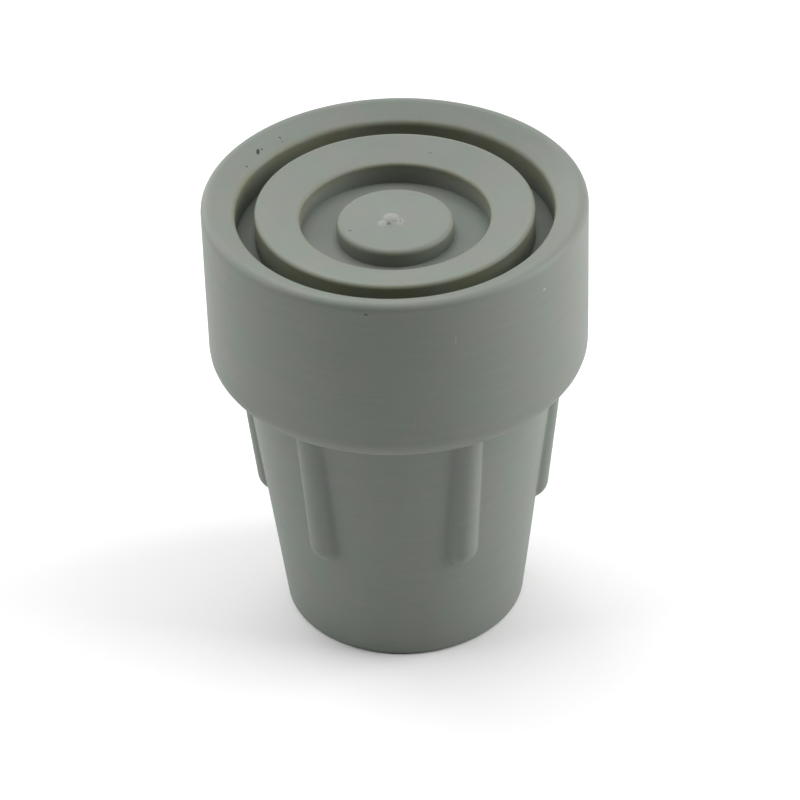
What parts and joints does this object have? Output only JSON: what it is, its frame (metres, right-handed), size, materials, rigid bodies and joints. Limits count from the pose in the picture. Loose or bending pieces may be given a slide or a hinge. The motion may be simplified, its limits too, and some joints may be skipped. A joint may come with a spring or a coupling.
{
  "type": "rubber cane tip",
  "caption": "Moulded rubber tip that presses over the end of a cane or crutch tube, with a ribbed tapered sleeve and a dished, grooved round tread.",
  "frame": {"origin": "centre of the socket's mouth, in the plane of the rim that the tip stands on", "axes": "+Z along the socket's axis, from the mouth to the tread; +X through the middle of one rib"},
  "size_m": [0.038, 0.038, 0.0479],
  "materials": {
    "rubber": "satin grey moulded rubber"
  },
  "bodies": {
    "root": {"cane_tip": "rubber"}
  },
  "joints": []
}
